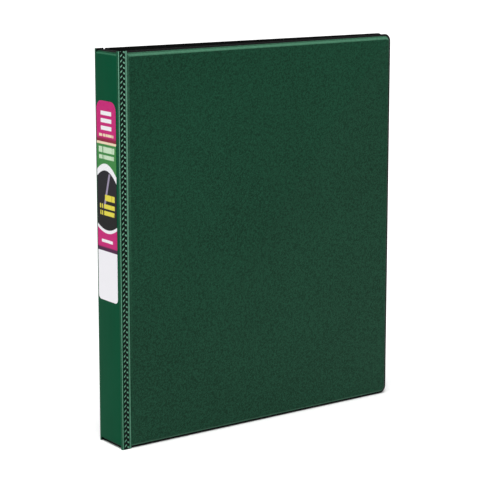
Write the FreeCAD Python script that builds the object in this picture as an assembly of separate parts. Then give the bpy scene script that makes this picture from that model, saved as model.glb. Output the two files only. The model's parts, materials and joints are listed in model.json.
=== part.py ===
"""Letter-size ring binder with slant-D rings, standing closed on its bottom edge.

Units are millimetres.  X runs along the covers, from the spine (-X) to the fore edge (+X).
Y runs through the thickness, from the front cover (-Y) to the back cover (+Y).  Z is up.
The origin is the centre of the bounding box, at the bottom.

The back cover and the spine are square to each other.  The front cover leans in from its
hinge, because an empty binder closes to a wedge.  The ring metal is riveted to the back cover.
"""
import math
import os

import FreeCAD
import Part

Vector = FreeCAD.Vector

# ---- covers ---------------------------------------------------------------------------
cover_width = 267.0            # spine's outer face to the fore edge
hinge_spacing = 34.0           # front hinge axis to back hinge axis
fore_gap = 9.8                 # clear space between the covers at the fore edge
board_thickness = 2.2          # grey board inside each panel
film_thickness = 0.3           # outer film
liner_thickness = 0.25         # inner film
seal_width = 2.5               # welded rim round each panel, from the liner's edge
liner_step = 1.6               # liner's edge past the outer film's
corner_radius = 6.0            # fore-edge corners
edge_round = 2.0               # outer film's rounding over the cover boards' edges
spine_edge_round = 1.2         # outer film's rounding over the spine board's edges
hinge_width = 7.0              # welded band, from the hinge axis to the cover's board
hinge_recess = 0.45            # welded band below the panels' outer faces
hinge_clearance = 0.3          # spine's end to the swinging band

# ---- pockets --------------------------------------------------------------------------
pocket_height = 128.0
pocket_film = 0.25
pocket_slit = 0.3              # empty space behind the pocket's film
pocket_weld = 3.0              # width of the weld on three sides
pocket_margin = 7.0            # weld to the panel's own edge
pocket_rise = 26.0             # how much higher the pocket is at the hinge side
housing_to_pocket = 5.0        # ring metal's housing to the back pocket

# ---- spine label ----------------------------------------------------------------------
label_width = 28.0
label_height = 149.5
label_bottom = 111.0
label_offset = 1.0             # label's middle from the spine's middle, towards the back
label_thickness = 0.15
label_top_radius = 7.0
label_bottom_radius = 3.5

# ---- ring metal -----------------------------------------------------------------------
ring_pitch = 107.95            # standard three-hole spacing
ring_to_housing_end = 23.0
housing_end_to_edge = 18.05
spine_to_metal = 26.0          # spine's outer face to the housing's centre line
housing_width = 22.0
housing_height = 7.6
housing_wall = 4.4             # height of the upright side walls
sheet_steel = 0.7              # housing's sheet
curl_width = 2.4               # rolled-in lower edge
wire_diameter = 3.2
slant_angle = 20.0             # slanted post from upright
foot_tail = 0.5                # wire below the blade it is staked in
foot_rise = 0.8                # blade to the wire's level run above it
stake_radius = 3.0             # bend from the stake to the level run
foot_run = 0.5                 # level run past the housing's side
foot_radius = 3.6              # bend at the foot of each ring half
post_radius = 5.0              # bend at the top of the slanted post
arm_radius = 12.0              # bend at the top of the curved arm
arm_straight = 0.5             # least straight length of the curved arm
split_offset = 3.0             # where the halves meet, from the centre line
tip_gap = 0.12                 # between the two closed tips
cone_radius = 0.9              # tip's cone, and the dimple that takes it
cone_depth = 0.8
ring_cover_clearance = 0.9     # open ring to the closed front cover
slot_clearance = 0.35          # ring wire to its slot in the housing

# ---- blades ---------------------------------------------------------------------------
blade_thickness = 1.2
blade_edge_clearance = 0.3     # round seated edge to the wall, and blade to centre line
blade_sag_angle = 5.0          # closed blades slope down to the centre
tab_length = 9.0
tab_reach = 1.0                # past the centre line
tab_clearance = 0.4
foot_inset = 2.8               # ring foot from the blade's pivot

# ---- triggers -------------------------------------------------------------------------
blade_travel = 17.0            # degrees each blade turns from closed to open
trigger_travel = 19.5          # degrees a trigger turns over the same stroke
pivot_inset = 4.0              # trigger pivot from the housing's end
pin_radius = 1.0
pin_clearance = 0.05
pin_head = 0.5                 # both the head's height and its overhang
arm_length = 7.1               # trigger's two inner arms, from its pivot
arm_thickness = 0.6
arm_heel = 0.5                 # arms past the pivot, towards the tab
arm_floor_clearance = 0.2      # opening arm to the back cover
lower_arm_clearance = 0.35     # opening arm to the closed blades above it
upper_arm_clearance = 0.8      # closing arm to the closed blades below it
finger_overlap = 0.7           # blade's finger between the arms
finger_length = 2.5            # finger past the blade's full width
finger_half_width = 2.0
hub_radius = 2.1
thumb_half_width = 6.6
thumb_run = 3.5                # flat part of the thumb tab, from the pivot
thumb_bend = 10.4              # outer radius of its curled part
thumb_angle = 60.0             # how far it curls up
thumb_thickness = 1.1

# ---- rivets ---------------------------------------------------------------------------
rivet_radius = 1.9
rivet_head_radius = 5.0
rivet_head_height = 1.2
clinch_radius = 3.2
clinch_height = 0.8
hole_clearance = 0.1
spacer_wall = 1.1
spacer_clearance = 0.6         # spacer to the cut-outs in the blades
overrun = 1.0                  # cutters run this far past what they cut

# ---- worked out -----------------------------------------------------------------------
height = 2 * (ring_pitch + ring_to_housing_end + housing_end_to_edge)
middle = height / 2
panel = board_thickness + film_thickness + liner_thickness
strip = film_thickness + liner_thickness
wire_radius = wire_diameter / 2
outside = strip / 2 + hinge_recess                 # hinge axis to a panel's outer face
inside = panel - outside                           # hinge axis to a panel's inner face
span = cover_width - outside                       # hinge axis to the fore edge
lean = math.atan((hinge_spacing - 2 * inside - fore_gap) / span)
spine_end_gap = strip / 2 / math.cos(lean) + inside * math.tan(lean) + hinge_clearance
front_reach = ((outside - edge_round) * math.cos(lean) + edge_round
               - (hinge_width + edge_round) * math.sin(lean))
front_reach = max(front_reach, strip / 2)          # front-most point, in front of the axis
total_depth = front_reach + hinge_spacing + outside + rivet_head_height
front_y = front_reach - total_depth / 2            # front hinge axis
back_y = front_y + hinge_spacing                   # back hinge axis
spine_x = label_thickness - (cover_width + label_thickness) / 2
axis_x = spine_x + outside                         # both hinge axes
inner_y = back_y - inside                          # back cover's inner face
metal_x = spine_x + spine_to_metal                 # ring metal's centre line
pocket_depth = pocket_slit + pocket_film

housing_half = housing_width / 2
housing_length = 2 * (ring_pitch + ring_to_housing_end)
arch_rise = housing_height - housing_wall
arch_radius = (housing_half ** 2 + arch_rise ** 2) / (2 * arch_rise)
blade_pivot = housing_half - sheet_steel - blade_edge_clearance - blade_thickness / 2
blade_reach = blade_pivot - blade_edge_clearance
blade_drop = blade_reach * math.sin(math.radians(blade_sag_angle))
blade_pivot_height = (arm_floor_clearance + arm_thickness + lower_arm_clearance
                      + blade_thickness / 2 + blade_drop)
foot_p = blade_pivot - foot_inset
foot_end = blade_pivot_height - blade_thickness / 2 - foot_tail
foot_level = blade_pivot_height + blade_thickness / 2 + foot_rise + wire_radius

gap_at_rings = hinge_spacing - 2 * inside - (spine_to_metal + blade_pivot) * math.tan(lean)
open_radius = (gap_at_rings - pocket_depth - ring_cover_clearance
               - wire_radius - blade_pivot_height)
ring_top = blade_pivot_height + math.sqrt(open_radius ** 2 - (blade_pivot - split_offset) ** 2)

centre_closed = blade_pivot_height - blade_drop
centre_open = blade_pivot_height + blade_reach * math.sin(
    math.radians(blade_travel - blade_sag_angle))
trigger_q = (centre_closed + centre_open) / 2      # trigger pivot above the back cover
pivot_z = housing_length / 2 - pivot_inset         # trigger pivot from the middle


# ---- helpers --------------------------------------------------------------------------
def block(x0, x1, y0, y1, z0, z1):
    """Box between three pairs of limits, given in any order."""
    low = Vector(min(x0, x1), min(y0, y1), min(z0, z1))
    return Part.makeBox(abs(x1 - x0), abs(y1 - y0), abs(z1 - z0), low)


def prism(points, y0, y1):
    """Polygon given as (x, z) pairs, extruded from y0 to y1."""
    wire = Part.makePolygon([Vector(x, y0, z) for x, z in points + points[:1]])
    return Part.Face(wire).extrude(Vector(0, y1 - y0, 0))


def slab(x0, x1, y0, y1, z0, z1, radius):
    """Box whose two upright edges at x1 are rounded, seen along Y."""
    solid = block(x0, x1, y0, y1, z0, z1)
    corners = [e for e in solid.Edges
               if abs(e.CenterOfMass.x - x1) < 1e-6
               and abs(e.CenterOfMass.y - (y0 + y1) / 2) < 1e-6]
    return solid.makeFillet(radius, corners)


def round_face(solid, y, radius, keep_x=None):
    """Fillets the border of the flat face at y, leaving out the edge at keep_x."""
    edges = [e for e in solid.Edges
             if abs(e.BoundBox.YMin - y) < 1e-6 and abs(e.BoundBox.YMax - y) < 1e-6
             and not (keep_x is not None and abs(e.BoundBox.XMax - keep_x) < 1e-6)]
    return solid.makeFillet(radius, edges)


def at_metal(p, q, z=0.0):
    """Point of the ring metal: p from its centre line, q above the back cover."""
    return Vector(metal_x + p, inner_y - q, z)


def line(a, b):
    return Part.makeLine(a, b)


def arc(a, b, c):
    return Part.Arc(a, b, c).toShape()


def post(p, q0, q1, z, radius):
    """Cylinder that stands on the back cover from height q0 to q1."""
    return Part.makeCylinder(radius, q1 - q0, at_metal(p, q0, z), Vector(0, -1, 0))


# ---- panels ---------------------------------------------------------------------------
def swing_front(shape):
    """Takes a shape from the front panel's own frame, with X along it, to its place."""
    shape = shape.copy()
    shape.rotate(Vector(0, 0, 0), Vector(0, 0, 1), math.degrees(lean))
    shape.translate(Vector(axis_x, front_y, 0))
    return shape


def place_back(shape):
    """Takes a shape from the back panel's own frame to its place."""
    shape = shape.copy()
    shape.translate(Vector(axis_x, back_y, 0))
    return shape


def cover_layers(inward):
    """Board, outer film and liner of a cover, in a frame at its hinge axis with X along it.

    inward is +1 where the inside of the binder is towards +Y, and -1 otherwise.
    """
    inner = inward * inside
    outer = -inward * outside
    liner_back = inner - inward * liner_thickness
    rim_back = liner_back - inward * film_thickness
    skin = outer + inward * film_thickness
    start = hinge_width
    rise = seal_width
    board = slab(start + film_thickness, span - rise - film_thickness, liner_back, skin,
                 rise + film_thickness, height - rise - film_thickness,
                 corner_radius - seal_width - film_thickness)
    board = round_face(board, skin, edge_round - film_thickness)
    body = slab(start, span - rise, liner_back, outer, rise, height - rise,
                corner_radius - seal_width)
    body = round_face(body, outer, edge_round)
    rim = slab(start, span - liner_step, liner_back, rim_back, liner_step,
               height - liner_step, corner_radius - liner_step)
    film = body.fuse(rim).cut(board).removeSplitter()
    liner = slab(start, span, inner, liner_back, 0, height, corner_radius)
    return board, film, liner


def hinge_strip():
    """Welded film band with a round edge on the hinge axis, in the cover's own frame."""
    half = strip / 2
    section = Part.Wire([
        line(Vector(0, -half, 0), Vector(hinge_width, -half, 0)),
        line(Vector(hinge_width, -half, 0), Vector(hinge_width, half, 0)),
        line(Vector(hinge_width, half, 0), Vector(0, half, 0)),
        arc(Vector(0, half, 0), Vector(-half, 0, 0), Vector(0, -half, 0)),
    ])
    return Part.Face(section).extrude(Vector(0, 0, height))


def spine_layers():
    """Board, outer film and liner of the spine, in place."""
    low = front_y + spine_end_gap
    high = back_y - spine_end_gap
    inner = spine_x + panel
    liner_back = inner - liner_thickness
    rise = seal_width
    board = block(spine_x + film_thickness, liner_back, low + film_thickness,
                  high - film_thickness, rise + film_thickness,
                  height - rise - film_thickness)
    body = block(spine_x, liner_back, low, high, rise, height - rise)
    outer_edges = [e for e in body.Edges
                   if abs(e.BoundBox.XMax - spine_x) < 1e-6]
    body = body.makeFillet(spine_edge_round, outer_edges)
    board_edges = [e for e in board.Edges
                   if abs(e.BoundBox.XMax - spine_x - film_thickness) < 1e-6]
    board = board.makeFillet(spine_edge_round - film_thickness, board_edges)
    rim = block(liner_back - film_thickness, liner_back, low, high, liner_step,
                height - liner_step)
    film = body.fuse(rim).cut(board).removeSplitter()
    liner = block(liner_back, inner, low, high, 0, height)
    return board, film, liner


def pocket(x0, x1, inward):
    """Flat pocket welded on three sides, open along its sloping top, in a cover's frame."""
    face = inward * inside
    front = face + inward * pocket_depth
    bottom = seal_width + pocket_margin
    top = bottom + pocket_height
    outline = [(x0, bottom), (x1, bottom), (x1, top), (x0, top + pocket_rise)]
    sheet = prism(outline, face, front)
    roof = top + pocket_rise + overrun
    slit = [(x0 + pocket_weld, bottom + pocket_weld), (x1 - pocket_weld, bottom + pocket_weld),
            (x1 - pocket_weld, roof), (x0 + pocket_weld, roof)]
    return sheet.cut(prism(slit, face, face + inward * pocket_slit))


def spine_label():
    """Thin label on the spine's outer face, with its corners rounded."""
    centre = (front_y + back_y) / 2 + label_offset
    solid = block(spine_x - label_thickness, spine_x, centre - label_width / 2,
                  centre + label_width / 2, label_bottom, label_bottom + label_height)

    def along_x(z):
        return [e for e in solid.Edges
                if abs(e.CenterOfMass.z - z) < 1e-6 and e.BoundBox.XLength > 1e-3
                and e.BoundBox.YLength < 1e-3]
    top = along_x(label_bottom + label_height)
    solid = solid.makeFillet(label_top_radius, top)
    return solid.makeFillet(label_bottom_radius, along_x(label_bottom))


# ---- ring metal -----------------------------------------------------------------------
def housing_section():
    """Arched channel with rolled-in lower edges, as a face square to its length."""
    outer = housing_half
    inner = outer - sheet_steel
    inner_radius = arch_radius - sheet_steel
    inner_top = housing_height - sheet_steel
    inner_spring = inner_top - inner_radius + math.sqrt(inner_radius ** 2 - inner ** 2)
    curl_in = outer - curl_width
    curl_top = blade_pivot_height - blade_thickness / 2 - blade_edge_clearance
    points = [
        (-outer, housing_wall), (-outer, 0), (-curl_in, 0), (-curl_in, curl_top),
        (-curl_in - sheet_steel, curl_top), (-curl_in - sheet_steel, sheet_steel),
        (-inner, sheet_steel), (-inner, inner_spring),
    ]
    left = [at_metal(p, q) for p, q in points]
    right = [at_metal(-p, q) for p, q in points]
    edges = [line(a, b) for a, b in zip(left, left[1:])]
    edges.append(arc(left[-1], at_metal(0, inner_top), right[-1]))
    edges += [line(a, b) for a, b in zip(right[::-1], right[::-1][1:])]
    edges.append(arc(right[0], at_metal(0, housing_height), left[0]))
    return Part.Face(Part.Wire(edges))


def housing():
    """Nickel-plated cover of the mechanism, with its slots and holes."""
    solid = housing_section().extrude(Vector(0, 0, housing_length))
    solid.translate(Vector(0, 0, middle - housing_length / 2))
    slot_half = wire_radius + slot_clearance
    slot_low = blade_pivot_height - slot_clearance
    slot_in = foot_p - wire_radius - slot_clearance
    for z in ring_heights():
        for side in (-1, 1):
            solid = solid.cut(block(
                metal_x + side * slot_in, metal_x + side * (housing_half + overrun),
                inner_y - slot_low, inner_y - housing_height - overrun,
                z - slot_half, z + slot_half))
    for z in rivet_heights():
        solid = solid.cut(post(0, 0, housing_height + overrun, z, rivet_radius + hole_clearance))
    for end in (-1, 1):
        solid = solid.cut(pin_hole(end, pin_radius))
    return solid


def ring_heights():
    return [middle + k * ring_pitch for k in (-1, 0, 1)]


def rivet_heights():
    return [middle - ring_pitch / 2, middle + ring_pitch / 2]


def pin_hole(end, radius):
    """Cylinder along a trigger's pivot axis, longer than the housing is wide."""
    reach = housing_half + overrun
    start = at_metal(-reach, trigger_q, middle + end * pivot_z)
    return Part.makeCylinder(radius, 2 * reach, start, Vector(1, 0, 0))


def bend(centre, radius, start, end):
    """Three (p, q) points on an arc, from one angle to another in degrees."""
    angles = [math.radians(a) for a in (start, (start + end) / 2, end)]
    return [(centre[0] + radius * math.cos(a), centre[1] + radius * math.sin(a)) for a in angles]


def ring_path(side):
    """Centre line of a ring half: side +1 is the slanted post, -1 the curved arm."""
    out = housing_half + foot_run
    bend_q = foot_level + foot_radius
    slant = math.radians(slant_angle)
    stake = bend((foot_p + stake_radius, foot_level - stake_radius), stake_radius, 180, 90)
    if side > 0:
        foot = bend((out, bend_q), foot_radius, -90, slant_angle)
        grow = post_radius - foot_radius
        top_q = ring_top - post_radius
        top_p = out - grow * math.cos(slant) - (top_q - bend_q + grow * math.sin(slant)) * math.tan(slant)
        top = bend((top_p, top_q), post_radius, slant_angle, 90)
    else:
        foot = bend((out, bend_q), foot_radius, -90, 0)
        radius = min(arm_radius, ring_top - bend_q - arm_straight)
        top = bend((out + foot_radius - radius, ring_top - radius), radius, 0, 90)
    points = [(foot_p, foot_end)] + stake + foot + top
    points.append((side * split_offset + tip_gap / 2, ring_top))
    spots = [at_metal(side * p, q) for p, q in points]
    edges = []
    for first in (0, 3, 6):
        edges.append(line(spots[first], spots[first + 1]))
        edges.append(arc(*spots[first + 1:first + 4]))
    edges.append(line(spots[-2], spots[-1]))
    return Part.Wire(edges)


def ring_half(side, z):
    """Round wire half ring, with a cone at its tip or the dimple that takes it."""
    start = at_metal(side * foot_p, foot_end)
    profile = Part.Wire(Part.makeCircle(wire_radius, start, Vector(0, 1, 0)))
    solid = ring_path(side).makePipeShell([profile], True, False)
    tip = at_metal(split_offset + side * tip_gap / 2, ring_top)
    if side > 0:
        cone = Part.makeCone(cone_radius, cone_radius / 4, cone_depth, tip, Vector(-1, 0, 0))
        solid = solid.fuse(cone).removeSplitter()
    else:
        cone = Part.makeCone(cone_radius + tip_gap, cone_radius / 4 + tip_gap, cone_depth, tip,
                             Vector(-1, 0, 0))
        solid = solid.cut(cone)
    solid.translate(Vector(0, 0, z))
    return solid


def blade_tilt(shape, side, degrees):
    """Turns a flat blade about its seated edge, so that its centre goes down."""
    shape = shape.copy()
    shape.rotate(at_metal(side * blade_pivot, blade_pivot_height), Vector(0, 0, 1),
                 -side * degrees)
    return shape


def blade(side, rings):
    """Hinge plate: its round outer edge is seated in the housing, its inner edge is at the centre."""
    half = blade_thickness / 2
    finger_end = pivot_z - arm_length + finger_overlap
    body_end = finger_end - finger_length
    outer = side * blade_pivot
    inner = side * (blade_pivot - blade_reach)

    def plate(p0, p1, z0, z1):
        return block(metal_x + p0, metal_x + p1, inner_y - blade_pivot_height - half,
                     inner_y - blade_pivot_height + half, z0, z1)
    solid = Part.makeCylinder(half, 2 * body_end,
                              at_metal(outer, blade_pivot_height, middle - body_end),
                              Vector(0, 0, 1))
    solid = solid.fuse(plate(inner, outer, middle - body_end, middle + body_end))
    solid = solid.fuse(plate(inner, side * finger_half_width,
                             middle - finger_end, middle + finger_end))
    for k, z in enumerate(tab_heights()):
        own = (k % 2 == 0) == (side > 0)
        if own:
            solid = solid.fuse(plate(inner, -side * tab_reach,
                                     z - tab_length / 2, z + tab_length / 2))
        else:
            grow = tab_length / 2 + tab_clearance
            solid = solid.cut(plate(0, side * (tab_reach + tab_clearance), z - grow, z + grow))
    solid = blade_tilt(solid.removeSplitter(), side, blade_sag_angle)
    cut_out = rivet_radius + hole_clearance + spacer_wall + spacer_clearance
    for z in rivet_heights():
        solid = solid.cut(post(0, -overrun, housing_height, z, cut_out))
    for ring in rings:
        solid = solid.cut(ring)
    return solid


def tab_heights():
    """Places of the interlocking tabs along the blades, clear of the rivets."""
    step = ring_pitch / 4
    places = [middle + k * step for k in range(-4, 5)]
    keep_off = tab_length / 2 + rivet_radius + spacer_wall + 2 * spacer_clearance
    return [z for z in places if min(abs(z - r) for r in rivet_heights()) > keep_off]


def trigger(end):
    """Lever at one end: thumb tab outside, and two arms that hold the blades' fingers."""
    top_arm = centre_closed + blade_thickness / 2 + upper_arm_clearance
    low_arm = centre_closed - blade_thickness / 2 - lower_arm_clearance
    arm_floor = low_arm - arm_thickness
    arm_roof = top_arm + arm_thickness

    def at(outward, q, half_width):
        return at_metal(-half_width, q, middle + end * (pivot_z + outward))

    def extrude(edges, half_width):
        return Part.Face(Part.Wire(edges)).extrude(Vector(2 * half_width, 0, 0))
    outline = [(-arm_length, arm_floor), (arm_heel, arm_floor), (arm_heel, arm_roof),
               (-arm_length, arm_roof), (-arm_length, top_arm), (-hub_radius, top_arm),
               (-hub_radius, low_arm), (-arm_length, low_arm)]
    corners = [at(d, q, finger_half_width) for d, q in outline]
    arms = extrude([line(a, b) for a, b in zip(corners, corners[1:] + corners[:1])],
                   finger_half_width)
    hub = Part.makeCylinder(hub_radius, 2 * thumb_half_width, at(0, trigger_q, thumb_half_width),
                            Vector(1, 0, 0))
    base = trigger_q - thumb_thickness / 2
    centre = (thumb_run, base + thumb_bend)
    under = bend(centre, thumb_bend, -90, thumb_angle - 90)
    over = bend(centre, thumb_bend - thumb_thickness, thumb_angle - 90, -90)
    points = [(0, base)] + under + over + [(0, base + thumb_thickness)]
    spots = [at(d, q, thumb_half_width) for d, q in points]
    thumb = extrude([line(spots[0], spots[1]), arc(*spots[1:4]), line(spots[3], spots[4]),
                     arc(*spots[4:7]), line(spots[6], spots[7]), line(spots[7], spots[0])],
                    thumb_half_width)
    solid = hub.fuse([arms, thumb]).removeSplitter()
    return solid.cut(pin_hole(end, pin_radius + pin_clearance))


def pivot_pin(end):
    """Pin through the housing's two walls, with a small head outside each."""
    z = middle + end * pivot_z
    reach = housing_half + pin_head
    pin = Part.makeCylinder(pin_radius, 2 * reach, at_metal(-reach, trigger_q, z), Vector(1, 0, 0))
    for p in (-reach, housing_half):
        head = Part.makeCylinder(pin_radius + pin_head, pin_head, at_metal(p, trigger_q, z),
                                 Vector(1, 0, 0))
        pin = pin.fuse(head)
    return pin.removeSplitter()


def spacer(z):
    """Tube between the back cover and the underside of the housing."""
    bore = rivet_radius + hole_clearance
    wide = bore + spacer_wall
    fall = arch_radius - sheet_steel - math.sqrt((arch_radius - sheet_steel) ** 2 - wide ** 2)
    top = housing_height - sheet_steel - fall
    return post(0, 0, top, z, wide).cut(post(0, -overrun, top + overrun, z, bore))


def rivet(z, housing_solid):
    """Domed head outside the back cover, shank, and clinched ring on the housing."""
    dome_radius = (rivet_head_radius ** 2 + rivet_head_height ** 2) / (2 * rivet_head_height)
    face = -panel
    clinch_top = housing_height + clinch_height
    clinch_low = housing_height - clinch_radius ** 2 / arch_radius
    edge = clinch_height / 2

    def at(radius, q):
        return at_metal(radius, q, z)
    half_head = rivet_head_radius / 2
    half_q = face - rivet_head_height + dome_radius - math.sqrt(dome_radius ** 2 - half_head ** 2)
    corners = [at(rivet_head_radius, face), at(rivet_radius, face), at(rivet_radius, clinch_low),
               at(clinch_radius, clinch_low), at(clinch_radius, clinch_top - edge),
               at(clinch_radius - edge, clinch_top), at(0, clinch_top),
               at(0, face - rivet_head_height)]
    edges = [arc(corners[-1], at(half_head, half_q), corners[0])]
    edges += [line(a, b) for a, b in zip(corners, corners[1:])]
    solid = Part.Face(Part.Wire(edges)).revolve(at(0, 0), Vector(0, -1, 0), 360)
    return solid.cut(housing_solid).removeSplitter()


# ---- assembly -------------------------------------------------------------------------
def build():
    parts = {}
    holes = [post(0, -panel - overrun, overrun, z, rivet_radius + hole_clearance)
             for z in rivet_heights()]

    board, film, liner = cover_layers(1)
    parts["front_board"] = swing_front(board)
    parts["front_outer_film"] = swing_front(film)
    parts["front_liner"] = swing_front(liner)
    parts["front_hinge_strip"] = swing_front(hinge_strip())
    parts["front_pocket"] = swing_front(pocket(
        hinge_width + pocket_margin, span - seal_width - pocket_margin, 1))

    board, film, liner = cover_layers(-1)
    parts["back_board"] = place_back(board).cut(holes)
    parts["back_outer_film"] = place_back(film).cut(holes)
    parts["back_liner"] = place_back(liner).cut(holes)
    parts["back_hinge_strip"] = place_back(hinge_strip())
    pocket_start = metal_x + housing_half + housing_to_pocket - axis_x
    parts["back_pocket"] = place_back(pocket(
        pocket_start, span - seal_width - pocket_margin, -1))

    board, film, liner = spine_layers()
    parts["spine_board"] = board
    parts["spine_outer_film"] = film
    parts["spine_liner"] = liner
    parts["spine_label"] = spine_label()

    parts["ring_housing"] = housing()
    names = ("lower", "middle", "upper")
    for side, label in ((1, "slanted_post"), (-1, "curved_arm")):
        rings = [ring_half(side, z) for z in ring_heights()]
        for name, ring in zip(names, rings):
            parts[f"{name}_{label}"] = ring
        parts["fore_blade" if side > 0 else "spine_blade"] = blade(side, rings)
    for end, name in ((-1, "lower"), (1, "upper")):
        parts[f"{name}_trigger"] = trigger(end)
        parts[f"{name}_trigger_pin"] = pivot_pin(end)
    for z, name in zip(rivet_heights(), ("lower", "upper")):
        parts[f"{name}_spacer"] = spacer(z)
        parts[f"{name}_rivet"] = rivet(z, parts["ring_housing"])
    return parts


def main():
    os.makedirs("parts", exist_ok=True)
    for name, shape in build().items():
        if not shape.isValid() or not shape.Solids:
            raise ValueError(f"{name} is not a valid solid")
        shape.exportStep(f"parts/{name}.step")
    print(f"height {height:.2f}, lean {math.degrees(lean):.2f} degrees, ring top {ring_top:.2f}")
    print(f"front axis ({axis_x:.4f}, {front_y:.4f}), back axis ({axis_x:.4f}, {back_y:.4f})")
    print(f"blade pivots x {metal_x:.4f} +- {blade_pivot:.4f}, y {inner_y - blade_pivot_height:.4f}")
    print(f"trigger pivots y {inner_y - trigger_q:.4f}, z {middle:.3f} +- {pivot_z:.4f}")


main()
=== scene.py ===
# Ring binder, closed and standing: welded vinyl covers, a printed spine label and the ring metal.
import bpy
import bmesh
import json
import math
from mathutils import Matrix, Vector


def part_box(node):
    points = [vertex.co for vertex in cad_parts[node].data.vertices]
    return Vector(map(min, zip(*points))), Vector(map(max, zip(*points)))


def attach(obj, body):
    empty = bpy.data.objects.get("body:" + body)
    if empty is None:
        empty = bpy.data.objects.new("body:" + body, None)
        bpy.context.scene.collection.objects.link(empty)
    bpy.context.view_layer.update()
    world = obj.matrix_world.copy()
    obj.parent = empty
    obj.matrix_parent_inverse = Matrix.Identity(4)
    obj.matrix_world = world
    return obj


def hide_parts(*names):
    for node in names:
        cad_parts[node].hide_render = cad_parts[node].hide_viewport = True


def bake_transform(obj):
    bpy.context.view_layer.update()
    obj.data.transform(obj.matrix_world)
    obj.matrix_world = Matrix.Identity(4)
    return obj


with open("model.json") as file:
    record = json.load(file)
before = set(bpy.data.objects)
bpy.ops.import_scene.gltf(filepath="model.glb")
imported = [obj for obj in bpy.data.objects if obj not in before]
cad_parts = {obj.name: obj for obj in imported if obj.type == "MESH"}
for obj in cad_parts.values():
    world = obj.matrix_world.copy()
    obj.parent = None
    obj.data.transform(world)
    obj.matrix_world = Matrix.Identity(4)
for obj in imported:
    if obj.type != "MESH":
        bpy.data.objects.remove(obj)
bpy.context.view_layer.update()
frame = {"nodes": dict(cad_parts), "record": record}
record = frame["record"]
nodes = frame["nodes"]


def mm(value):
    return value / 1000.0


# where the covers turn, read from the frame
hinges = {}
for joint in record["behaviour"]["joints"]:
    if joint["type"] == "hinge":
        hinges[joint["name"]] = Vector(joint["pos_m"])
frontAxis = hinges["front_hinge"]
backAxis = hinges["back_hinge"]
leanFace = next(m for m in record["mounts"] if m["name"] == "front_face")["axis"]
lean = math.atan2(leanFace[0], -leanFace[1])
frontPlace = Matrix.Translation((frontAxis.x, frontAxis.y, 0)) @ Matrix.Rotation(lean, 4, "Z")
backPlace = Matrix.Translation((backAxis.x, backAxis.y, 0)) @ Matrix.Scale(-1, 4, (0, 1, 0))
filmLow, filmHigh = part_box("back_outer_film")
spineLow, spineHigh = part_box("spine_outer_film")
linerLow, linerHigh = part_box("back_liner")
outside = filmHigh.y - backAxis.y          # hinge axis to a panel's outer face
binderHeight = linerHigh.z - linerLow.z
print("frame read: lean", round(math.degrees(lean), 2), "degrees")


# shader help
class Signal:
    # one output of a node; sums on it add Math nodes

    def __init__(self, finish, socket):
        self.finish = finish
        self.socket = socket

    def maths(self, operation, first, second):
        return self.finish.node("Math", {"operation": operation}, {0: first, 1: second})

    def __add__(self, other):
        return self.maths("ADD", self, other)

    def __radd__(self, other):
        return self.maths("ADD", other, self)

    def __sub__(self, other):
        return self.maths("SUBTRACT", self, other)

    def __rsub__(self, other):
        return self.maths("SUBTRACT", other, self)

    def __mul__(self, other):
        return self.maths("MULTIPLY", self, other)

    def __rmul__(self, other):
        return self.maths("MULTIPLY", other, self)

    def __truediv__(self, other):
        return self.maths("DIVIDE", self, other)


def ink(red, green, blue):
    # colour given as 0 to 255 on screen, returned as the shader's linear colour
    linear = []
    for part in (red, green, blue):
        part = part / 255.0
        linear.append(part / 12.92 if part <= 0.04045 else ((part + 0.055) / 1.055) ** 2.4)
    return (linear[0], linear[1], linear[2], 1.0)


class Finish:
    # a procedural material and the nodes in it

    def __init__(self, name):
        self.material = bpy.data.materials.new(name)
        self.material.use_nodes = True
        self.tree = self.material.node_tree
        self.shader = self.tree.nodes["Principled BSDF"]

    def node(self, kind, settings=None, sockets=None, out=0):
        made = self.tree.nodes.new("ShaderNode" + kind)
        for key, value in (settings or {}).items():
            setattr(made, key, value)
        for key, value in (sockets or {}).items():
            self.feed(made.inputs[key], value)
        return Signal(self, made.outputs[out])

    def feed(self, socket, value):
        if isinstance(value, Signal):
            self.tree.links.new(value.socket, socket)
        else:
            socket.default_value = value

    def set(self, **sockets):
        for key, value in sockets.items():
            self.feed(self.shader.inputs[key.replace("_", " ")], value)

    def place(self):
        return self.node("TexCoord", out=3)

    def axes(self):
        split = self.node("SeparateXYZ", sockets={0: self.place()})
        return [Signal(self, split.socket.node.outputs[i]) for i in range(3)]

    def scaled(self, scale, turn=(0, 0, 0)):
        return self.node("Mapping", {}, {"Vector": self.place(), "Scale": scale, "Rotation": turn})

    def stretched(self, flat, turn, stretch):
        # flattened, then turned, then stretched
        turned = self.node("Mapping", {}, {"Vector": self.scaled(flat), "Rotation": turn})
        return self.node("Mapping", {}, {"Vector": turned, "Scale": stretch})

    def noise(self, scale, detail=3.0, rough=0.5, vector=None):
        return self.node("TexNoise", {}, {"Vector": vector or self.place(), "Scale": scale,
                                          "Detail": detail, "Roughness": rough})

    def cells(self, scale, vector=None):
        return self.node("TexVoronoi", {"feature": "F1"},
                         {"Vector": vector or self.place(), "Scale": scale, "Randomness": 1.0})

    def mix(self, factor, first, second):
        return self.node("Mix", {"data_type": "RGBA", "blend_type": "MIX"},
                         {0: factor, 6: first, 7: second}, out=2)

    def rise(self, value, low, high, bottom=0.0, top=1.0):
        # smooth step of value from bottom at low to top at high
        return self.node("MapRange", {"interpolation_type": "SMOOTHSTEP"},
                         {"Value": value, "From Min": low, "From Max": high,
                          "To Min": bottom, "To Max": top})

    def bump(self, height, depth, strength):
        return self.node("Bump", {}, {"Height": height, "Distance": depth, "Strength": strength})


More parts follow.
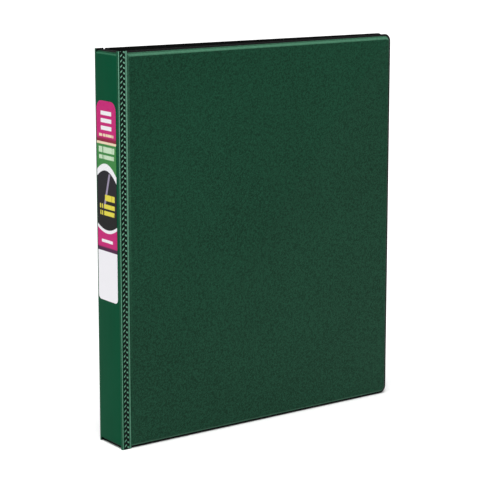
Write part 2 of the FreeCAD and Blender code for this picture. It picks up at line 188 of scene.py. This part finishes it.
# finishes
vinyl = {
    "cover": ink(25, 76, 54),        # grained film on the covers
    "coverDark": ink(10, 46, 30),
    "spine": ink(5, 78, 51),         # smoother film on the spine
    "spineDark": ink(3, 64, 40),
    "stretched": ink(82, 134, 107),  # painted highlight on the film's top edges and welded rims
    "ridge": ink(118, 168, 144),     # painted highlight on the raised parts of the hinge's emboss and on the front fold
    "grooveShade": ink(2, 10, 7),         # painted shade at the bottom of the hinge's emboss
    "grain": 1250.0,                 # grain cells per metre
    "grainDepth": mm(0.06),
}
liner = {"colour": ink(13, 14, 14), "light": ink(27, 29, 29)}
nickel = {"bright": ink(208, 205, 199), "dull": ink(184, 181, 174)}


def grainedVinyl(name, base, dark, grainStrength, contrast):
    # film with a fine leather grain: small cells in slanting rows, a soft uneven tone, and a
    # painted highlight on the top edges and welded rims
    finish = Finish(name)
    flat = finish.scaled((1.0, 0.0, 1.0))
    slanted = finish.stretched((1.0, 0.0, 1.0), (0, math.radians(42), 0), (0.62, 1.0, 1.25))
    cell = finish.cells(vinyl["grain"], vector=slanted)
    fine = finish.noise(2300.0, 2.0, 0.6, flat)
    broad = finish.noise(9.0, 3.0, 0.55, flat)
    mottle = finish.noise(430.0, 2.0, 0.6, flat)
    height = (1.0 - cell) * 0.7 + fine * 0.3
    shade = finish.rise(height + (mottle - 0.5) * 0.45, 0.25, 0.85)
    tone = (shade - 0.5) * contrast + 0.5 + (broad - 0.5) * 0.4
    edge = finish.node("Attribute", {"attribute_name": "edge"}, out=2)
    colour = finish.mix(tone, dark, base)
    # painted highlight: the film is lightened on its top edges and welded rims
    colour = finish.mix(edge * (0.64 + (mottle - 0.5) * 0.5), colour, vinyl["stretched"])
    finish.set(Base_Color=colour, Roughness=0.52 + (0.5 - shade) * 0.16,
               Normal=finish.bump(height, vinyl["grainDepth"], grainStrength))
    finish.shader.inputs["Specular IOR Level"].default_value = 0.08
    return finish


def smoothVinyl(name):
    finish = Finish(name)
    fine = finish.noise(1500.0, 2.0, 0.6)
    broad = finish.noise(16.0, 3.0, 0.55)
    drawn = finish.noise(60.0, 2.0, 0.5, finish.scaled((1.0, 3.5, 0.35)))
    tone = 0.5 + (broad - 0.5) * 0.7 + (drawn - 0.5) * 0.4 + (fine - 0.5) * 0.3
    edge = finish.node("Attribute", {"attribute_name": "edge"}, out=2)
    colour = finish.mix(tone, vinyl["spineDark"], vinyl["spine"])
    # painted highlight, weaker, on the spine film's top edges and welded rims
    colour = finish.mix(edge * (0.3 + (fine - 0.5) * 0.2), colour, vinyl["stretched"])
    finish.set(Base_Color=colour, Roughness=0.42 + (fine - 0.5) * 0.18,
               Normal=finish.bump(fine * 0.6 + drawn * 0.4, mm(0.03), 0.55))
    finish.shader.inputs["Specular IOR Level"].default_value = 0.012
    return finish


def hingeVinyl():
    # relief 0 is a groove, 0.5 plain film and 1 the top of a pad; grooves get painted shade and pad
    # tops a painted highlight
    finish = Finish("hingeVinyl")
    relief = finish.node("Attribute", {"attribute_name": "relief"}, out=2)
    fine = finish.noise(1500.0, 3.0, 0.6)
    patch = finish.noise(210.0, 2.0, 0.6)
    # painted light from above: the pads' highlight grows towards the top of the binder
    height = finish.rise(finish.axes()[2], 0.0, binderHeight)
    plain = finish.mix(fine, vinyl["spineDark"], vinyl["spine"])
    # painted shade: the emboss's grooves darkened towards black
    colour = finish.mix(finish.rise(relief + (fine - 0.5) * 0.15, 0.06, 0.42),
                        vinyl["grooveShade"], plain)
    # painted highlight on the pad tops
    lit = finish.rise(relief, 0.7, 1.0) * (0.35 + patch * 0.5 + height * 0.35)
    finish.set(Base_Color=finish.mix(lit, colour, vinyl["ridge"]),
               Roughness=0.45 + (fine - 0.5) * 0.2,
               Normal=finish.bump(fine, mm(0.04), 0.6))
    finish.shader.inputs["Specular IOR Level"].default_value = 0.08
    return finish


def blackVinyl(name, roughness, depth, gloss):
    finish = Finish(name)
    cell = finish.cells(900.0, vector=finish.scaled((1, 1, 1), (0, math.radians(-35), 0)))
    fine = finish.noise(1700.0, 2.0, 0.6)
    broad = finish.noise(16.0, 3.0, 0.5)
    height = (1.0 - cell) * 0.7 + fine * 0.3
    tone = finish.rise(height * 0.6 + broad * 0.4, 0.3, 0.75)
    finish.set(Base_Color=finish.mix(tone, liner["colour"], liner["light"]),
               Roughness=roughness + (fine - 0.5) * 0.12,
               Normal=finish.bump(height, depth, 0.6))
    finish.shader.inputs["Specular IOR Level"].default_value = gloss
    return finish


def greyBoard():
    finish = Finish("greyBoard")
    fibres = finish.noise(700.0, 4.0, 0.7, finish.scaled((1.0, 1.0, 0.25)))
    flecks = finish.cells(500.0)
    tone = fibres * 0.8 + finish.rise(flecks, 0.1, 0.5) * 0.2
    finish.set(Base_Color=finish.mix(tone, ink(120, 112, 100), ink(176, 168, 154)),
               Roughness=0.85 + (fibres - 0.5) * 0.1,
               Normal=finish.bump(fibres, mm(0.05), 0.6))
    return finish


def plated(name, bright, dull, roughness, grain):
    # nickel plate with drawing marks along its length, and duller in patches
    finish = Finish(name)
    streak = finish.noise(900.0, 3.0, 0.6, finish.scaled(grain))
    patch = finish.noise(45.0, 4.0, 0.6)
    speck = finish.noise(1400.0, 2.0, 0.5)
    tone = finish.rise(patch + (streak - 0.5) * 0.3, 0.3, 0.62)
    finish.set(Base_Color=finish.mix(tone, dull, bright), Metallic=1.0,
               Roughness=roughness + (1.0 - tone) * 0.14 + (speck - 0.5) * 0.06,
               Normal=finish.bump(streak, mm(0.012), 0.5))
    return finish


# spine label: its print
labelPrint = {
    "magenta": ink(186, 22, 108), "deep": ink(130, 16, 50), "cream": ink(226, 206, 176),
    "green": ink(52, 124, 58), "pale": ink(190, 214, 184), "panel": ink(17, 13, 24),
    "panelLow": ink(2, 2, 3), "yellow": ink(214, 202, 66), "white": ink(229, 228, 232),
    "purple": ink(66, 12, 58), "lilac": ink(158, 146, 172),
    # heights above the label's bottom edge, in mm
    "blankTop": 37.5, "purpleTop": 40.5, "lowerTop": 60.0, "panelTop": 98.0,
    "greenTop": 117.5, "creamTop": 119.3, "deepTop": 122.0,
    # lines of print and plain bars: bottom, top, left, right
    "lowerBar": (44.0, 46.2, -0.6, 0.55),
    "yellowLines": ((75.5, 80.0, -0.2, 0.8), (69.5, 72.8, -0.75, 0.8), (64.5, 67.8, -0.72, 0.78)),
    "paleLines": ((111.2, 115.6, -0.82, 0.82), (106.4, 109.4, -0.78, 0.78)),
    "creamLine": (123.2, 125.2, -0.75, 0.75),
    "upperBars": ((128.0, 131.0, -0.55, 0.55), (133.5, 136.5, -0.55, 0.55),
                  (139.0, 142.0, -0.55, 0.55)),
}


def printedLabel():
    finish = Finish("printedLabel")
    look = labelPrint
    low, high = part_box("spine_label")
    x, y, z = finish.axes()
    across = (y - (low.y + high.y) / 2) / ((low.y - high.y) / 2)    # -1 at the back, 1 at the front
    up = (z - low.z) * 1000.0                                       # mm from the bottom edge
    soft = 0.25

    def above(value, edge, width=soft):
        return finish.rise(value, edge - width, edge + width)

    def between(value, bottom, top, width=soft):
        return above(value, bottom, width) * (1.0 - above(value, top, width))

    def plainBar(bottom, top, left, right):
        return between(up, bottom, top, 0.3) * between(across, left, right, 0.03)

    def bar(bottom, top, left, right):
        # one line of print, as a broken bar
        words = finish.noise(900.0, 1.0, 0.5, finish.scaled((0.0, 0.5, 0.02)))
        return plainBar(bottom, top, left, right) * finish.rise(words, 0.36, 0.44)

    colour = look["white"]
    colour = finish.mix(above(up, look["blankTop"]), colour, look["purple"])
    colour = finish.mix(above(up, look["purpleTop"], 0.8), colour, look["magenta"])
    colour = finish.mix(plainBar(*look["lowerBar"]), colour, look["white"])
    # dark panel between two white arcs
    bowl = look["lowerTop"] - 6.5 + across * across * 3.9
    arch = look["panelTop"] - across * across * 6.6 - across * 1.6
    colour = finish.mix(above(up - bowl, -2.4), colour, look["white"])
    fade = finish.rise(up, 60.0, 96.0)
    panel = finish.mix(fade, look["panelLow"], look["panel"])
    slant = across * 14.0 + (up - 86.0) * -0.32
    streak = between(slant, -0.2, 2.2, 0.5) * between(up, 70.0, 96.0, 1.5)
    panel = finish.mix(streak * 0.85, panel, look["lilac"])
    for line in look["yellowLines"]:
        panel = finish.mix(bar(*line), panel, look["yellow"])
    colour = finish.mix(above(up - bowl, 0.0), colour, panel)
    colour = finish.mix(above(up - arch, 0.0), colour, look["white"])
    colour = finish.mix(above(up - arch, 5.0), colour, look["green"])
    for line in look["paleLines"]:
        colour = finish.mix(bar(*line), colour, look["pale"])
    colour = finish.mix(above(up, look["greenTop"]), colour, look["cream"])
    colour = finish.mix(above(up, look["creamTop"]), colour, look["deep"])
    colour = finish.mix(above(up, look["deepTop"], 1.2), colour, look["magenta"])
    for line in look["upperBars"]:
        colour = finish.mix(plainBar(*line), colour, look["white"])
    colour = finish.mix(bar(*look["creamLine"]), colour, look["cream"])
    weave = finish.noise(3000.0, 2.0, 0.6)
    finish.set(Base_Color=colour, Roughness=0.34 + (weave - 0.5) * 0.1,
               Normal=finish.bump(weave, mm(0.01), 0.3))
    finish.shader.inputs["Specular IOR Level"].default_value = 0.06
    return finish


coverVinyl = grainedVinyl("coverVinyl", vinyl["cover"], vinyl["coverDark"], 0.9, 0.9)
spineVinyl = smoothVinyl("spineVinyl")
bandVinyl = hingeVinyl()
linerVinyl = blackVinyl("linerVinyl", 0.6, mm(0.05), 0.12)
pocketVinyl = blackVinyl("pocketVinyl", 0.36, mm(0.02), 0.22)
spacerPlastic = blackVinyl("spacerPlastic", 0.5, mm(0.03), 0.3)
board = greyBoard()
label = printedLabel()
housingPlate = plated("housingPlate", nickel["bright"], nickel["dull"], 0.18, (1, 1, 0.02))
wirePlate = plated("wirePlate", nickel["bright"], nickel["dull"], 0.14, (1, 1, 1))
bladeSteel = plated("bladeSteel", ink(190, 188, 182), ink(140, 138, 132), 0.32, (1, 1, 0.02))
triggerPlate = plated("triggerPlate", nickel["bright"], nickel["dull"], 0.2, (0.05, 1, 1))
pinSteel = plated("pinSteel", ink(180, 178, 172), ink(130, 128, 122), 0.35, (1, 1, 1))
print("finishes made")


# mesh help
def slabIn(bm, low, high):
    # box between two corners, added to a bmesh
    low = Vector(low)
    high = Vector(high)
    size = high - low
    place = Matrix.Translation((low + high) / 2) @ Matrix.Diagonal((*size, 1.0))
    return bmesh.ops.create_cube(bm, size=1.0, matrix=place)["verts"]


def widestFace(bm, direction):
    towards = [face for face in bm.faces if face.normal.dot(Vector(direction)) > 0.99]
    return max(towards, key=lambda face: face.calc_area())


def cutOff(bm, point, normal):
    # removes what lies beyond a plane and closes the cut
    bmesh.ops.bisect_plane(bm, geom=list(bm.verts) + list(bm.edges) + list(bm.faces),
                           dist=mm(0.004), plane_co=point, plane_no=normal, clear_outer=True)
    opened = [edge for edge in bm.edges if edge.is_boundary]
    bmesh.ops.holes_fill(bm, edges=opened, sides=0)


def finishPiece(name, bm, finishes, place=Matrix.Identity(4), smoothAngle=35.0):
    # turns a bmesh into an object whose place is in its mesh
    bmesh.ops.transform(bm, matrix=place, verts=bm.verts)
    bmesh.ops.recalc_face_normals(bm, faces=bm.faces)
    mesh = bpy.data.meshes.new(name)
    bm.to_mesh(mesh)
    bm.free()
    for finish in finishes:
        mesh.materials.append(finish.material)
    for polygon in mesh.polygons:
        polygon.use_smooth = True
    mesh.set_sharp_from_angle(angle=math.radians(smoothAngle))
    piece = bpy.data.objects.new(name, mesh)
    bpy.context.scene.collection.objects.link(piece)
    return piece


# outer films: a raised panel over the board, with a flat welded rim
film = {
    "sheet": mm(0.3),
    "rim": mm(0.9),              # welded rim that shows round the raised panel
    "round": mm(1.95),           # film bent over a cover board's edge
    "spineRound": mm(1.15),
    "roundSteps": 5,
    "corner": mm(5.0),           # rim's corners at the fore edge
    "cornerSteps": 10,
    "hingeSideHighlight": 0.25,           # how much painted highlight the film keeps along the hinge-side rounding
}


def sealedFilm(length, height, depth, rounding, farRim):
    # x from the hinge side, outside towards -y, z up; the back is hollow for the board
    bm = bmesh.new()
    # mask for the painted highlight on the rims and top edges
    stretch = bm.verts.layers.float.new("edge")
    sheet = film["sheet"]
    over = 0.0 if farRim else film["rim"]
    slabIn(bm, (-film["rim"], -sheet, 0), (length + over, 0, height))
    bm.normal_update()
    if farRim:
        corners = [line for line in bm.edges
                   if abs((line.verts[0].co - line.verts[1].co).normalized().y) > 0.9
                   and line.verts[0].co.x > length / 2]
        bmesh.ops.bevel(bm, geom=corners, offset=film["corner"], segments=film["cornerSteps"],
                        profile=0.5, affect="EDGES", material=-1)
    bm.normal_update()
    panel = widestFace(bm, (0, -1, 0))
    bmesh.ops.inset_region(bm, faces=[panel], thickness=film["rim"], use_even_offset=True)
    hollow = widestFace(bm, (0, 1, 0))
    bmesh.ops.inset_region(bm, faces=[hollow], thickness=film["rim"] + sheet,
                           use_even_offset=True)
    cutOff(bm, (0, 0, 0), (-1, 0, 0))
    if not farRim:
        cutOff(bm, (length, 0, 0), (1, 0, 0))
    bm.normal_update()
    panel = widestFace(bm, (0, -1, 0))
    top = bmesh.ops.extrude_discrete_faces(bm, faces=[panel])["faces"][0]
    bmesh.ops.translate(bm, vec=(0, -(depth - sheet), 0), verts=top.verts)
    bmesh.ops.bevel(bm, geom=list(top.edges), offset=rounding, segments=film["roundSteps"],
                    profile=0.5, affect="EDGES", material=-1)
    bm.normal_update()
    hollow = widestFace(bm, (0, 1, 0))
    floor = bmesh.ops.extrude_discrete_faces(bm, faces=[hollow])["faces"][0]
    bmesh.ops.translate(bm, vec=(0, -(depth - sheet), 0), verts=floor.verts)
    bmesh.ops.bevel(bm, geom=list(floor.edges), offset=rounding - sheet,
                    segments=film["roundSteps"] - 1, profile=0.5, affect="EDGES", material=-1)
    if farRim:
        # a line beside the hinge, so that the painted highlight on the rim stops there
        bmesh.ops.bisect_plane(bm, geom=bm.verts[:] + bm.edges[:] + bm.faces[:],
                               plane_co=(rounding + mm(0.5), 0, 0), plane_no=(1, 0, 0))
    # painted highlight: full on the welded rim and the top edge's rounding, none on the raised face
    # and lower roundings, less beside the hinge
    for vert in bm.verts:
        atTop = vert.co.z > height - film["rim"] - rounding - mm(0.01)
        if vert.co.y < -depth + mm(0.01):
            vert[stretch] = 0.0
        elif vert.co.y > -sheet - mm(0.01):
            vert[stretch] = 1.0
        else:
            vert[stretch] = 1.0 if atTop else 0.0
        if farRim and vert.co.x < rounding + mm(0.1):
            vert[stretch] = min(vert[stretch], film["hingeSideHighlight"])
    return bm


def outerFilms():
    length = filmHigh.x - filmLow.x
    height = filmHigh.z - filmLow.z
    depth = filmHigh.y - filmLow.y
    inPanel = Matrix.Translation((filmLow.x - backAxis.x, depth - outside, filmLow.z))
    spineLength = spineHigh.y - spineLow.y
    turned = Matrix.Rotation(math.radians(-90), 4, "Z")
    onSpine = Matrix.Translation((spineHigh.x, spineHigh.y, spineLow.z)) @ turned
    covers = {"front": frontPlace @ inPanel, "back": backPlace @ inPanel}
    for side, place in covers.items():
        piece = finishPiece(side + "_film",
                            sealedFilm(length, height, depth, film["round"], True),
                            [coverVinyl], place)
        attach(piece, side + "_cover")
        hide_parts(side + "_outer_film")
    spine = finishPiece("spine_film",
                        sealedFilm(spineLength, height, depth, film["spineRound"], False),
                        [spineVinyl], onSpine)
    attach(spine, "spine")
    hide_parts("spine_outer_film")
    print("outer films made")


outerFilms()


# hinge bands: welded film with a plaited emboss, wrapped round from the spine
band = {
    "pitch": mm(3.84),           # one pad of the plait and the gap under it
    "thick": mm(0.25),
    "front": mm(-0.275),         # outside of the raised pads, from the hinge axis
    "raise": mm(0.3),
    # mm from the hinge axis: where the groove starts, pads, gap, pads, rim with a painted
    # highlight, panel's edge
    "columns": [0.7, 1.0, 3.2, 3.5, 5.5, 5.6, 7.0],
    "rimRelief": 0.87,         # how much painted highlight the rim gets
    "padColumns": (1, 3),
    "slopes": (0.85, -0.45),     # rise of a pad across its column
    "inset": mm(0.4),
    "ridgeFrom": mm(-0.35),      # line along the fold, painted light on the front band and painted shadow on the back
    "ridgeTo": mm(0.2),
    "wrapRadius": mm(0.9),
    "wrapSteps": 5,
    "wrapTail": mm(2.2),         # how far up the spine the wrap starts
    "skin": mm(0.03),            # wrap kept inside the outer face by this
    "wrapFoot": mm(0.55),        # where the wrap ends
    "spareRows": 12,
    "frontRidge": 1.0,           # painted highlight along the front fold
    "backRidge": 0.05,           # painted shadow along the back fold
    "bendStart": mm(-0.35),
    "bendEnd": mm(0.75),
}


def hingeBand(ridge):
    # x from the hinge axis, outside towards -y, the spine towards +y
    bm = bmesh.new()
    relief = bm.verts.layers.float.new("relief")
    radius = band["wrapRadius"]
    centre = Vector((radius - outside + band["skin"], band["front"] + radius))
    places = [Vector((centre.x - radius, band["wrapTail"]))]
    for step in range(band["wrapSteps"] + 1):
        turn = math.radians(180.0 + 90.0 * step / band["wrapSteps"])
        places.append(centre + Vector((math.cos(turn), math.sin(turn))) * radius)
    places.append(Vector((band["wrapFoot"], band["front"])))
    wrapped = len(places)
    for across in band["columns"]:
        places.append(Vector((mm(across), band["front"] + band["raise"])))
    for place in places[-2:]:
        place.y = band["front"]
    rows = 2 * int(binderHeight / band["pitch"]) + band["spareRows"]
    tall = rows * band["pitch"] / 2
    columns = len(places) - 1
    upright = Matrix.Translation((0, 0, binderHeight / 2)) @ Matrix.Rotation(math.pi / 2, 4, "X")
    bmesh.ops.create_grid(bm, x_segments=columns, y_segments=rows, size=0.5,
                          matrix=upright @ Matrix.Diagonal((1.0, tall, 1.0, 1.0)))
    pads = []
    for face in bm.faces:
        middle = face.calc_center_median()
        column = int((middle.x + 0.5) * columns) - wrapped
        row = int((middle.z - binderHeight / 2 + tall / 2) / tall * rows)
        if column in band["padColumns"] and row % 2 == band["padColumns"].index(column):
            pads.append(face)
    lines = [[] for _ in places]
    for vert in bm.verts:
        lines[round((vert.co.x + 0.5) * columns)].append(vert)
        vert[relief] = 0.0
    climb = 0.0
    for index, place in enumerate(places):
        column = index - wrapped
        if column - 1 in band["padColumns"]:
            width = place.x - places[index - 1].x
            climb += band["slopes"][band["padColumns"].index(column - 1)] * width
        bmesh.ops.translate(bm, vec=(place.x - lines[index][0].co.x, place.y, climb),
                            verts=lines[index])
        # painted highlight on the rim at the band's edge
        if index >= len(places) - 2:
            for vert in lines[index]:
                vert[relief] = band["rimRelief"]
        # painted highlight along the front fold and painted shadow along the back fold, as ridge
        # says
        if column < 0:
            onRidge = band["ridgeFrom"] < place.x < band["ridgeTo"]
            for vert in lines[index]:
                vert[relief] = ridge if onRidge else 0.5
    bm.normal_update()
    if pads[0].normal.y > 0:
        bmesh.ops.reverse_faces(bm, faces=bm.faces)
    rear = bmesh.ops.solidify(bm, geom=list(bm.faces), thickness=band["thick"])["geom"]
    return bm, relief, pads, rear


def weldedBands():
    for side in ("front", "back"):
        bm, relief, pads, rear = hingeBand(band[side + "Ridge"])
        for face in rear:
            if isinstance(face, bmesh.types.BMFace):
                face.material_index = 1
        bmesh.ops.inset_individual(bm, faces=pads, thickness=band["inset"], use_even_offset=True)
        for face in pads:
            bmesh.ops.translate(bm, vec=(0, -band["raise"], 0), verts=face.verts)
            for vert in face.verts:
                vert[relief] = 1.0
        cutOff(bm, (0, 0, 0), (0, 0, -1))
        cutOff(bm, (0, 0, binderHeight), (0, 0, 1))
        axis = frontAxis if side == "front" else backAxis
        place = Matrix.Translation((axis.x, axis.y, 0))
        if side == "front":
            onCover = [vert for vert in bm.verts if vert.co.x > band["bendEnd"]]
            bmesh.ops.rotate(bm, cent=(0, 0, 0), matrix=Matrix.Rotation(lean, 3, "Z"),
                             verts=onCover)
        else:
            place = backPlace
        piece = finishPiece(side + "_hinge_band", bm, [bandVinyl, linerVinyl], place)
        if side == "front":
            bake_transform(piece)
        else:
            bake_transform(piece)
        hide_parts(side + "_hinge_strip")
    print("hinge bands made")


weldedBands()


# pockets: film welded on three sides, standing off the liner towards its open top
pocket = {
    "sheet": mm(0.2),
    "weld": mm(3.0),             # flat weld along the bottom and both sides
    "slope": mm(26.0),           # rise of the open edge towards the hinge
    "proud": mm(0.3),            # film off the liner just inside the welds
    "sag": mm(0.42),             # further off in the middle of the open edge
    "across": 40,
    "up": 22,
}


def pocketSheet(name, low, high, place, body):
    # low and high are the pocket's corners in its panel, x from the hinge axis, inside towards +y
    bm = bmesh.new()
    wide = high.x - low.x
    tall = high.z - low.z
    upright = Matrix.Translation((0.5, 0, 0.5)) @ Matrix.Rotation(math.pi / 2, 4, "X")
    bmesh.ops.create_grid(bm, x_segments=pocket["across"], y_segments=pocket["up"], size=0.5,
                          matrix=upright)
    weldAcross = pocket["weld"] / wide
    weldUp = pocket["weld"] / tall
    for vert in bm.verts:
        column = round(vert.co.x * pocket["across"])
        row = round(vert.co.z * pocket["up"])
        # the outer cells are the welds, the rest share what is left evenly
        u = weldAcross + (column - 1) / (pocket["across"] - 2) * (1 - 2 * weldAcross)
        v = weldUp + (row - 1) / (pocket["up"] - 1) * (1 - weldUp)
        u = min(max(u, 0.0), 1.0) if 0 < column < pocket["across"] else float(column > 0)
        v = v if row > 0 else 0.0
        inWeld = column < 1 or column > pocket["across"] - 1 or row < 1
        hold = 0.0 if inWeld else math.sin(math.pi * u) ** 0.7
        fold = math.sin(u * 23.0 + v * 4.0) * 0.10 + math.sin(u * 9.0 - v * 7.0) * 0.12
        off = 0.0 if inWeld else pocket["proud"] + pocket["sag"] * hold * v * (0.85 + fold)
        openEdge = tall - pocket["slope"] * u
        vert.co = Vector((low.x + u * wide, low.y + off, low.z + v * openEdge))
    bm.normal_update()
    bmesh.ops.solidify(bm, geom=list(bm.faces), thickness=pocket["sheet"])
    lowest = min(vert.co.y for vert in bm.verts)
    bmesh.ops.translate(bm, vec=(0, low.y - lowest, 0), verts=bm.verts)
    piece = finishPiece(name + "_pocket_film", bm, [pocketVinyl], place)
    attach(piece, body)
    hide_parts(name + "_pocket")


def pockets():
    inside = backAxis.y - linerLow.y          # hinge axis to a panel's inner face
    for side, place in (("front", frontPlace), ("back", backPlace)):
        low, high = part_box(side + "_pocket")
        if side == "front":
            turnBack = place.inverted()
            corners = [turnBack @ Vector((x, y, 0)) for x, y in
                       ((low.x, low.y), (high.x, high.y))]
            left = corners[0].x
            right = corners[1].x
        else:
            left = low.x - backAxis.x
            right = high.x - backAxis.x
        pocketSheet(side, Vector((left, inside, low.z)), Vector((right, inside, high.z)),
                    place, side + "_cover")
    print("pockets made")


pockets()


# carried-over parts get their finishes
def dress():
    finishes = {
        "front_board": board, "spine_board": board, "back_board": board,
        "front_liner": linerVinyl, "spine_liner": linerVinyl, "back_liner": linerVinyl,
        "spine_label": label,
        "ring_housing": housingPlate, "fore_blade": bladeSteel, "spine_blade": bladeSteel,
    }
    for level in ("lower", "middle", "upper"):
        finishes[level + "_slanted_post"] = wirePlate
        finishes[level + "_curved_arm"] = wirePlate
    for level in ("lower", "upper"):
        finishes[level + "_trigger"] = triggerPlate
        finishes[level + "_trigger_pin"] = pinSteel
        finishes[level + "_rivet"] = pinSteel
        finishes[level + "_spacer"] = spacerPlastic
    for name, finish in finishes.items():
        node = nodes[name]
        for slot in node.material_slots:
            slot.material = finish.material
    print("finishes given to", len(finishes), "carried-over parts")


dress()


# floor, light and camera
studio = {
    "floorSize": 40.0, "floor": ink(250, 250, 250), "floorLight": ink(252, 252, 252),
    "world": ink(255, 255, 255), "worldPower": 0.3,
    "overhead": 3.4, "overheadSoft": 40.0, "overheadFrom": (-0.20, -0.18, 1.0),
    "key": 1.3, "keyAt": (-0.62, -0.80, 0.72), "keyAim": (-0.1, 0, 0.22), "keySize": (0.4, 0.4),
    "sensor": 36.0, "clipNear": 0.05, "clipFar": 100.0,
    "lens": 139.99, "cameraAt": (-0.8148, -1.1953, 0.4150), "cameraTurn": 33.84, "cameraDip": 10.71,
}


def stageFloor():
    bm = bmesh.new()
    bmesh.ops.create_grid(bm, x_segments=1, y_segments=1, size=studio["floorSize"] / 2)
    finish = Finish("paleFloor")
    soft = finish.noise(3.0, 2.0, 0.5)
    finish.set(Base_Color=finish.mix(soft, studio["floor"], studio["floorLight"]), Roughness=0.9)
    floor = finishPiece("floor", bm, [finish])


def softbox(name, at, aim, size, power):
    light = bpy.data.lights.new(name, "AREA")
    light.shape = "RECTANGLE"
    light.size = size[0]
    light.size_y = size[1]
    light.energy = power
    lamp = bpy.data.objects.new(name, light)
    lamp.location = at
    lamp.rotation_euler = (Vector(aim) - Vector(at)).to_track_quat("-Z", "Y").to_euler()
    bpy.context.scene.collection.objects.link(lamp)


def studioLight():
    world = bpy.data.worlds.new("studioWorld")
    world.use_nodes = True
    world.node_tree.nodes["Background"].inputs["Color"].default_value = studio["world"]
    world.node_tree.nodes["Background"].inputs["Strength"].default_value = studio["worldPower"]
    bpy.context.scene.world = world
    above = bpy.data.lights.new("overhead", "SUN")
    above.energy = studio["overhead"]
    above.angle = math.radians(studio["overheadSoft"])
    lamp = bpy.data.objects.new("overhead", above)
    lamp.rotation_euler = Vector(studio["overheadFrom"]).to_track_quat("Z", "Y").to_euler()
    bpy.context.scene.collection.objects.link(lamp)
    softbox("key", studio["keyAt"], studio["keyAim"], studio["keySize"], studio["key"])


def placeCamera():
    camera = bpy.data.cameras.new("studioCamera")
    camera.lens = studio["lens"]
    camera.sensor_width = studio["sensor"]
    camera.clip_start = studio["clipNear"]
    camera.clip_end = studio["clipFar"]
    seat = bpy.data.objects.new("studioCamera", camera)
    seat.location = studio["cameraAt"]
    seat.rotation_euler = (math.radians(90.0 - studio["cameraDip"]), 0,
                           math.radians(-studio["cameraTurn"]))
    bpy.context.scene.collection.objects.link(seat)
    bpy.context.scene.camera = seat


bpy.context.scene.view_settings.view_transform = "Standard"
stageFloor()
studioLight()
placeCamera()
print("studio ready")
